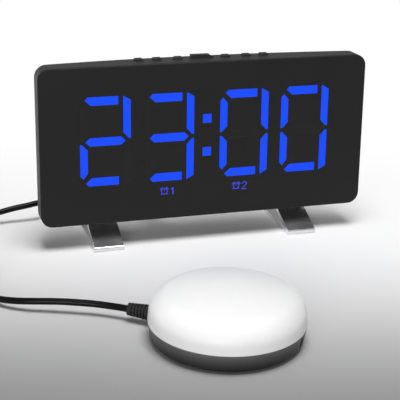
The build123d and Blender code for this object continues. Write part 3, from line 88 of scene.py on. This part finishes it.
# Colours, linear
LENS = (0.008, 0.008, 0.008)
CASE = (0.022, 0.022, 0.022)
BUTTON = (0.022, 0.022, 0.022)
LIT_BLUE = (0.0125, 0.0850, 1.0)
LIT_VIOLET = (0.0190, 0.0730, 1.0)
ICON_BLUE = (0.050, 0.100, 0.75)
ICON_VIOLET = (0.070, 0.060, 0.60)
CHROME = (0.80, 0.80, 0.81)
DOME_WHITE = (0.83, 0.83, 0.83)
# Painted light on the puck's base: its colour runs from this painted shade at the floor to this painted
# highlight at the seam
BASE_PAINTED_SHADE = (0.010, 0.010, 0.010)
BASE_PAINTED_LIGHT = (0.140, 0.140, 0.140)
JACKET = (0.004, 0.004, 0.004)
RUBBER = (0.010, 0.010, 0.010)
STEEL = (0.55, 0.55, 0.54)
IVORY = (0.68, 0.67, 0.63)
REFLECTOR = (0.8, 0.8, 0.8)
BOARD_GREEN = (0.015, 0.14, 0.05)
RESIN = (0.70, 0.55, 0.14)
MAGNET = (0.06, 0.06, 0.065)
LAMINATION = (0.22, 0.15, 0.11)
BRASS = (0.60, 0.44, 0.18)
WIRE_RED = (0.36, 0.02, 0.02)

# Detail of the materials: sizes and heights of their patterns, and how far those change sheen and tone
NOISE_LOW = 0.3
NOISE_HIGH = 0.7
EDGE_SAMPLES = 6
BLOTCH = 18 * MM
SHEEN_SPREAD = 0.1
SMEAR = 9 * MM
SMEAR_TONE = 0.93
STREAK = 0.4 * MM
METAL_EDGE = 0.3 * MM
GLOW_PATCH = 14 * MM
GLOW_ROUGHNESS = 0.6
GLOW_STRENGTH = 1.0
PUCK_GLOSS = 0.2
DOME_WAVE = 30 * MM
DOME_WAVE_HEIGHT = 0.02 * MM
DOME_HAZE = 6 * MM
DOME_HAZE_TONE = 0.985
DOME_ROUGHNESS = (0.30, 0.36)
DOME_SCATTER = 0.08
DOME_SCATTER_DEPTH = 2 * MM
DOME_EDGE = 0.3 * MM
BASE_GRAIN = 0.5 * MM
BASE_GRAIN_HEIGHT = 0.005 * MM
BASE_ROUGHNESS = (0.38, 0.46)
BASE_EDGE = 0.4 * MM
BASE_SEAM = 10 * MM

# Lead: millimetres and degrees, but metres for its whole length
CORD = 3.4
CORD_ROUNDNESS = 6
CORD_STEPS = 5
COIL_CENTRE = (-150.0, 85.6)
COIL_HEADING = 185.0
COIL_Z = 2.65
COIL_RADIUS = 22.5
COIL_PITCH = 3.9
COIL_LAYERS = 4
HALF_TURNS = 5
HALF_TURN_POINTS = 12
CORD_FIRST_RUN = 7.5
CORD_LAST_RUN = 12.0
LEAN = math.radians(2.0)
PLUG_END = Vector((-22.0, 100.19, 23.15))
PLUG_DIR = Vector((0.0, math.cos(LEAN), -math.sin(LEAN)))
RELIEF_TIP = Vector((-66.05, -35.71, 6.2))
RELIEF_DIR = Vector((-0.80902, 0.58779, 0.0))

# Points that the lead passes, from the plug to the coil and from the coil to the puck
CLOCK_ROUTE = (
    (-23.6, 115.0, 22.2),
    (-29.2, 121.2, 20.9),
    (-38.6, 123.8, 19.3),
    (-50.0, 121.8, 17.3),
    (-62.0, 116.8, 14.9),
    (-73.5, 111.2, 12.7),
    (-83.5, 107.0, 11.2),
    (-92.5, 105.2, 10.2),
    (-101.0, 105.4, 9.0),
    (-110.0, 104.5, 7.4),
    (-121.0, 105.2, 4.6),
)
SHAKER_ROUTE = (
    (-129.6, 58.2, 12.9),
    (-124.3, 52.6, 11.0),
    (-122.2, 45.3, 8.4),
    (-123.5, 34.5, 5.4),
    (-126.5, 23.0, 2.9),
    (-128.4, 12.0, 2.0),
    (-127.4, 1.5, 2.4),
    (-122.6, -6.8, 4.0),
    (-113.8, -13.3, 5.3),
    (-103.0, -17.4, 6.0),
    (-92.0, -21.6, 6.4),
)


# Materials
def new_material(name):
    """An empty node material: its tree and its Principled shader."""
    material = bpy.data.materials.new(name)
    material.use_nodes = True
    tree = material.node_tree
    return material, tree, tree.nodes["Principled BSDF"]


def position(tree, stretch=(1.0, 1.0, 1.0)):
    """The point in the model's frame, stretched along its axes."""
    coordinates = tree.nodes.new("ShaderNodeTexCoord")
    mapping = tree.nodes.new("ShaderNodeMapping")
    mapping.inputs["Scale"].default_value = stretch
    tree.links.new(coordinates.outputs["Object"], mapping.inputs["Vector"])
    return mapping.outputs["Vector"]


def noise(tree, point, size, detail=3.0):
    """Noise whose features are about a size across, from 0 to 1."""
    texture = tree.nodes.new("ShaderNodeTexNoise")
    texture.inputs["Scale"].default_value = 1.0 / size
    texture.inputs["Detail"].default_value = detail
    tree.links.new(point, texture.inputs["Vector"])
    return texture.outputs["Fac"]


def combine(tree, operation, first, second):
    """One number out of two."""
    node = tree.nodes.new("ShaderNodeMath")
    node.operation = operation
    tree.links.new(first, node.inputs[0])
    tree.links.new(second, node.inputs[1])
    return node.outputs[0]


def ramp(tree, value, start, end, low, high, course="SMOOTHSTEP"):
    """A number that runs from low to high between two values."""
    node = tree.nodes.new("ShaderNodeMapRange")
    node.interpolation_type = course
    node.inputs["From Min"].default_value = start
    node.inputs["From Max"].default_value = end
    node.inputs["To Min"].default_value = low
    node.inputs["To Max"].default_value = high
    tree.links.new(value, node.inputs["Value"])
    return node.outputs["Result"]


def spread(tree, value, low, high):
    """Noise mapped to a range of numbers."""
    return ramp(tree, value, NOISE_LOW, NOISE_HIGH, low, high, "LINEAR")


def blend(tree, factor, first, second):
    """Two colours mixed by a factor."""
    node = tree.nodes.new("ShaderNodeMix")
    node.data_type = "RGBA"
    node.inputs["A"].default_value = (*first, 1.0)
    node.inputs["B"].default_value = (*second, 1.0)
    tree.links.new(factor, node.inputs["Factor"])
    return node.outputs["Result"]


def two_tone(tree, value, first, second):
    """Two colours mixed by noise."""
    return blend(tree, spread(tree, value, 0.0, 1.0), first, second)


def relief(tree, shader, value, height, edge):
    """Bump of a height in metres, over edges softened to a radius."""
    bump = tree.nodes.new("ShaderNodeBump")
    bump.inputs["Strength"].default_value = 1.0
    bump.inputs["Distance"].default_value = height
    tree.links.new(value, bump.inputs["Height"])
    if edge:
        bevel = tree.nodes.new("ShaderNodeBevel")
        bevel.samples = EDGE_SAMPLES
        bevel.inputs["Radius"].default_value = edge
        tree.links.new(bevel.outputs["Normal"], bump.inputs["Normal"])
    tree.links.new(bump.outputs["Normal"], shader.inputs["Normal"])


def plastic(name, color, rough, specular=0.5, grain=0.35 * MM, height=0.004 * MM, edge=0.35 * MM, vary=0.12):
    """Moulded plastic: a spark-eroded grain, uneven sheen and a little mottling."""
    material, tree, shader = new_material(name)
    point = position(tree)
    blotches = noise(tree, point, BLOTCH)
    fine = noise(tree, point, grain, 2.0)
    dark = tuple(channel * (1 - vary) for channel in color)
    light = tuple(min(1.0, channel * (1 + vary)) for channel in color)
    tree.links.new(two_tone(tree, blotches, dark, light), shader.inputs["Base Color"])
    sheen = spread(tree, fine, rough * (1 - SHEEN_SPREAD), rough * (1 + SHEEN_SPREAD))
    tree.links.new(sheen, shader.inputs["Roughness"])
    shader.inputs["Specular IOR Level"].default_value = specular
    relief(tree, shader, fine, height, edge)
    return material


def metal(name, color, rough, stretch, height=0.001 * MM, uneven=0.3, haze=0.0):
    """Metal with drawn, turned or polished streaks, faint smears and a share of pale haze."""
    material, tree, shader = new_material(name)
    streaks = noise(tree, position(tree, stretch), STREAK, 4.0)
    smears = noise(tree, position(tree), SMEAR)
    dull = tuple(channel * SMEAR_TONE for channel in color)
    tree.links.new(two_tone(tree, smears, dull, color), shader.inputs["Base Color"])
    sheen = spread(tree, smears, rough * (1 - uneven), rough * (1 + uneven))
    tree.links.new(sheen, shader.inputs["Roughness"])
    shader.inputs["Metallic"].default_value = 1.0 - haze
    relief(tree, shader, streaks, height, METAL_EDGE)
    return material


def glow(name, first, second):
    """A lit diffuser: a dark face that shines, a little unevenly along its length."""
    material, tree, shader = new_material(name)
    shader.inputs["Base Color"].default_value = (0.0, 0.0, 0.0, 1.0)
    shader.inputs["Specular IOR Level"].default_value = 0.0
    shader.inputs["Roughness"].default_value = GLOW_ROUGHNESS
    shader.inputs["Emission Strength"].default_value = GLOW_STRENGTH
    uneven = noise(tree, position(tree), GLOW_PATCH)
    tree.links.new(two_tone(tree, uneven, first, second), shader.inputs["Emission Color"])
    return material


def moulded_dome():
    """Polished white plastic with the faint waves of a moulding."""
    material, tree, shader = new_material("dome_white_polished")
    point = position(tree)
    waves = noise(tree, point, DOME_WAVE, 1.0)
    haze = noise(tree, point, DOME_HAZE)
    dull = tuple(channel * DOME_HAZE_TONE for channel in DOME_WHITE)
    tree.links.new(two_tone(tree, haze, dull, DOME_WHITE), shader.inputs["Base Color"])
    tree.links.new(spread(tree, haze, *DOME_ROUGHNESS), shader.inputs["Roughness"])
    shader.inputs["Specular IOR Level"].default_value = PUCK_GLOSS
    shader.inputs["Subsurface Weight"].default_value = DOME_SCATTER
    shader.inputs["Subsurface Radius"].default_value = (DOME_SCATTER_DEPTH,) * 3
    relief(tree, shader, waves, DOME_WAVE_HEIGHT, DOME_EDGE)
    return material


def base_with_painted_light():
    """Satin black plastic with painted light: its colour is palest along its upper edge and darkest at the
    floor, a painted highlight and painted shade standing in for its shading.
    """
    material, tree, shader = new_material("base_satin_painted_light")
    point = position(tree)
    fine = noise(tree, point, BASE_GRAIN, 2.0)
    axes = tree.nodes.new("ShaderNodeSeparateXYZ")
    tree.links.new(point, axes.inputs["Vector"])
    # painted light: the base colour brightens with height up to the seam, as painted highlight over painted
    # shade
    rise = ramp(tree, axes.outputs["Z"], 0.0, BASE_SEAM, 0.0, 1.0, "LINEAR")
    shade = combine(tree, "MULTIPLY", rise, rise)
    tree.links.new(blend(tree, shade, BASE_PAINTED_SHADE, BASE_PAINTED_LIGHT), shader.inputs["Base Color"])
    tree.links.new(spread(tree, fine, *BASE_ROUGHNESS), shader.inputs["Roughness"])
    shader.inputs["Specular IOR Level"].default_value = PUCK_GLOSS
    relief(tree, shader, fine, BASE_GRAIN_HEIGHT, BASE_EDGE)
    return material


MATERIALS = {
    "lens_black": plastic("smoked_panel", LENS, rough=0.55, specular=0.22, grain=0.25 * MM,
                          height=0.002 * MM, edge=0.5 * MM, vary=0.05),
    "segment_lit": glow("lit_blue", LIT_BLUE, LIT_VIOLET),
    "segment_unlit": plastic("unlit_panel", LENS, rough=0.50, specular=0.24, grain=0.25 * MM,
                             height=0.002 * MM, edge=0.0, vary=0.05),
    "icon_blue": glow("icon_violet_blue", ICON_BLUE, ICON_VIOLET),
    "case_black": plastic("case_satin", CASE, rough=0.5, specular=0.2),
    "button_black": plastic("button_satin", BUTTON, rough=0.5, specular=0.2),
    "plunger_white": plastic("plunger_ivory", IVORY, rough=0.45),
    "reflector_white": plastic("reflector_white", REFLECTOR, rough=0.5),
    "board_green": plastic("solder_mask", BOARD_GREEN, rough=0.35, grain=1.2 * MM),
    "led_yellow": plastic("led_resin", RESIN, rough=0.2),
    "part_black": plastic("component_black", RUBBER, rough=0.5),
    "steel": metal("plated_steel", STEEL, rough=0.28, stretch=(1.0, 1.0, 8.0)),
    "chrome": metal("polished_chrome", CHROME, rough=0.24, stretch=(0.08, 1.0, 1.0), height=0.0006 * MM,
                    uneven=0.1, haze=0.06),
    "shaker_white": moulded_dome(),
    "shaker_black": base_with_painted_light(),
    "foot_rubber": plastic("foot_rubber", RUBBER, rough=0.7, specular=0.3),
    "end_cap_white": plastic("end_cap_ivory", IVORY, rough=0.5),
    "magnet_grey": plastic("sintered_magnet", MAGNET, rough=0.6, grain=0.6 * MM),
    "armature_iron": metal("laminated_iron", LAMINATION, rough=0.45, stretch=(12.0, 1.0, 1.0)),
    "weight_brass": metal("turned_brass", BRASS, rough=0.3, stretch=(6.0, 1.0, 1.0)),
    "relief_rubber": plastic("relief_rubber", RUBBER, rough=0.45, specular=0.35, grain=0.4 * MM,
                             height=0.006 * MM, edge=0.1 * MM),
    "wire_red": plastic("wire_red", WIRE_RED, rough=0.45),
    "plug_black": plastic("plug_rubber", RUBBER, rough=0.5, specular=0.4),
    "plug_metal": metal("plug_nickel", STEEL, rough=0.15, stretch=(1.0, 6.0, 1.0)),
    "cord_black": plastic("lead_jacket", JACKET, rough=0.25, specular=0.12, grain=0.6 * MM,
                          height=0.004 * MM, edge=0.0),
    "tie_black": plastic("tie_nylon", RUBBER, rough=0.45),
}

for subpart in frame["record"]["subparts"]:
    node = nodes[subpart["node"]]
    node.data.materials.clear()
    node.data.materials.append(MATERIALS[subpart["material_slot"]])


# Lead
def heading_vector(degrees):
    """A level direction."""
    return Vector((math.cos(math.radians(degrees)), math.sin(math.radians(degrees)), 0.0))


def coil_start():
    """Where the coil's first half turn begins."""
    return Vector((*COIL_CENTRE, COIL_Z)) - heading_vector(COIL_HEADING + 90) * COIL_RADIUS


def coil_radii():
    """Radius and rise of each half turn, from the first to the last."""
    steps = []
    radius = COIL_RADIUS
    for layer in range(COIL_LAYERS):
        change = -COIL_PITCH / 2 if layer % 2 == 0 else COIL_PITCH / 2
        for _ in range(HALF_TURNS):
            steps.append((radius, 0.0))
            radius += change
        if layer < COIL_LAYERS - 1:
            steps.append((radius, COIL_PITCH))
            radius -= change
    return steps


def coil_points():
    """Control points of the coil, moved out so that the smooth line through them has the coil's radii."""
    step = math.pi / HALF_TURN_POINTS
    outward = 1 / (0.75 + 0.25 * math.cos(step))
    heading = COIL_HEADING
    spot = coil_start()
    points = []
    for radius, rise in coil_radii():
        inward = heading_vector(heading + 90)
        centre = spot + inward * radius
        for index in range(HALF_TURN_POINTS):
            share = (index + 0.5) / HALF_TURN_POINTS
            spoke = heading_vector(heading - 90 + 180 * share) * (radius * outward)
            climb = rise * (1 - math.cos(math.pi * share)) / 2
            points.append(centre + spoke + Vector((0.0, 0.0, climb)))
        spot = spot + inward * (2 * radius) + Vector((0.0, 0.0, rise))
        heading += 180
    return points, spot, heading_vector(heading)


def lead_route():
    """The lead's line from the puck to the plug, in millimetres."""
    coil, coil_end, out_dir = coil_points()
    in_dir = heading_vector(COIL_HEADING)
    coil_in = coil_start() - in_dir * CORD
    coil_out = coil_end + out_dir * CORD
    clock_run = [
        PLUG_END,
        PLUG_END + PLUG_DIR * CORD_FIRST_RUN,
        *map(Vector, CLOCK_ROUTE),
        coil_in - in_dir * CORD_LAST_RUN,
        coil_in,
    ]
    shaker_run = [
        coil_out,
        coil_out + out_dir * CORD_FIRST_RUN,
        *map(Vector, SHAKER_ROUTE),
        RELIEF_TIP + RELIEF_DIR * CORD_LAST_RUN,
        RELIEF_TIP,
    ]
    return (clock_run + coil + shaker_run)[::-1]


def make_lead():
    """One smooth round cord along the route."""
    curve = bpy.data.curves.new("lead", "CURVE")
    curve.dimensions = "3D"
    curve.bevel_depth = CORD * MM / 2
    curve.bevel_resolution = CORD_ROUNDNESS
    curve.resolution_u = CORD_STEPS
    curve.use_fill_caps = True
    route = lead_route()
    spline = curve.splines.new("NURBS")
    spline.points.add(len(route) - 1)
    for control, spot in zip(spline.points, route):
        control.co = (*(spot * MM), 1.0)
    spline.order_u = 3
    spline.use_endpoint_u = True
    lead = bpy.data.objects.new("shaker_lead", curve)
    bpy.context.scene.collection.objects.link(lead)
    lead.data.materials.append(MATERIALS["cord_black"])
    return lead


lead = make_lead()
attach(lead, ROOT)
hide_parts("cord_clock_run", "cord_coil", "cord_shaker_run")


# Stage
def is_seen(tree):
    """1 for rays from the camera and for those that gloss or glass throws on, else 0."""
    path = tree.nodes.new("ShaderNodeLightPath")
    total = path.outputs["Is Camera Ray"]
    for name in ("Is Glossy Ray", "Is Transmission Ray"):
        total = combine(tree, "MAXIMUM", total, path.outputs[name])
    return total


def make_world():
    """A white surround under a dimmer ceiling: full white where it is seen, and less as light."""
    world = bpy.data.worlds.new("white_surround")
    world.use_nodes = True
    tree = world.node_tree
    background = tree.nodes["Background"]
    background.inputs["Color"].default_value = (1.0, 1.0, 1.0, 1.0)
    coordinates = tree.nodes.new("ShaderNodeTexCoord")
    axes = tree.nodes.new("ShaderNodeSeparateXYZ")
    tree.links.new(coordinates.outputs["Generated"], axes.inputs["Vector"])
    wall = ramp(tree, axes.outputs["Z"], CEILING_LOW, CEILING_HIGH, 1.0, CEILING)
    strength = tree.nodes.new("ShaderNodeMapRange")
    strength.inputs["To Min"].default_value = AMBIENT
    tree.links.new(is_seen(tree), strength.inputs["Value"])
    tree.links.new(wall, strength.inputs["To Max"])
    tree.links.new(strength.outputs["Result"], background.inputs["Strength"])
    bpy.context.scene.world = world


def make_floor():
    """A pale floor, with painted shade darkening its colour towards the front, that fades into the white
    surround.
    """
    bpy.ops.mesh.primitive_plane_add(size=FLOOR_SIZE)
    floor = bpy.context.object
    floor.name = "floor"
    material, tree, shader = new_material("floor_pale_painted_shade")
    coordinates = tree.nodes.new("ShaderNodeTexCoord")
    along = tree.nodes.new("ShaderNodeVectorMath")
    along.operation = "DOT_PRODUCT"
    along.inputs[1].default_value = (*FLOOR_AHEAD, 0.0)
    tree.links.new(coordinates.outputs["Object"], along.inputs[0])
    depth = along.outputs["Value"]
    # painted shade: the floor colour darkens towards the front, standing in for light falling off
    tone = ramp(tree, depth, FLOOR_NEAR, FLOOR_FAR, FLOOR_NEAR_PAINTED_SHADE, FLOOR_FAR_TONE)
    color = tree.nodes.new("ShaderNodeCombineColor")
    for channel in ("Red", "Green", "Blue"):
        tree.links.new(tone, color.inputs[channel])
    tree.links.new(color.outputs["Color"], shader.inputs["Base Color"])
    shader.inputs["Roughness"].default_value = FLOOR_ROUGHNESS
    shader.inputs["Specular IOR Level"].default_value = 0.0
    reach = tree.nodes.new("ShaderNodeVectorMath")
    reach.operation = "LENGTH"
    tree.links.new(coordinates.outputs["Object"], reach.inputs[0])
    behind = ramp(tree, depth, FADE_START, FADE_END, 0.0, 1.0)
    around = ramp(tree, reach.outputs["Value"], EDGE_START, EDGE_END, 0.0, 1.0)
    white = tree.nodes.new("ShaderNodeEmission")
    mix = tree.nodes.new("ShaderNodeMixShader")
    fade = combine(tree, "MULTIPLY", combine(tree, "MAXIMUM", behind, around), is_seen(tree))
    tree.links.new(fade, mix.inputs["Fac"])
    tree.links.new(shader.outputs["BSDF"], mix.inputs[1])
    tree.links.new(white.outputs["Emission"], mix.inputs[2])
    tree.links.new(mix.outputs["Shader"], tree.nodes["Material Output"].inputs["Surface"])
    floor.data.materials.append(material)


def make_lamp(name, spot, size, power):
    """A square soft light that looks at the object."""
    data = bpy.data.lights.new(name, "AREA")
    data.size = size
    data.energy = power
    lamp = bpy.data.objects.new(name, data)
    lamp.location = spot
    lamp.rotation_euler = (Vector(LAMP_TARGET) - Vector(spot)).to_track_quat("-Z", "Y").to_euler()
    bpy.context.scene.collection.objects.link(lamp)


def make_camera():
    """The photograph's viewpoint."""
    data = bpy.data.cameras.new("camera")
    data.sensor_width = CAMERA_SENSOR
    data.lens = CAMERA_LENS
    data.clip_start = CAMERA_NEAR
    camera = bpy.data.objects.new("camera", data)
    turn = Matrix((CAMERA_RIGHT, CAMERA_UP, CAMERA_BACK)).transposed().to_4x4()
    camera.matrix_world = Matrix.Translation(CAMERA_SPOT) @ turn
    bpy.context.scene.collection.objects.link(camera)
    bpy.context.scene.camera = camera


make_world()
make_floor()
make_lamp("key", KEY_SPOT, KEY_SIZE, KEY_POWER)
make_lamp("fill", FILL_SPOT, FILL_SIZE, FILL_POWER)
make_lamp("rim", RIM_SPOT, RIM_SIZE, RIM_POWER)
make_camera()
bpy.context.scene.view_settings.view_transform = "Standard"
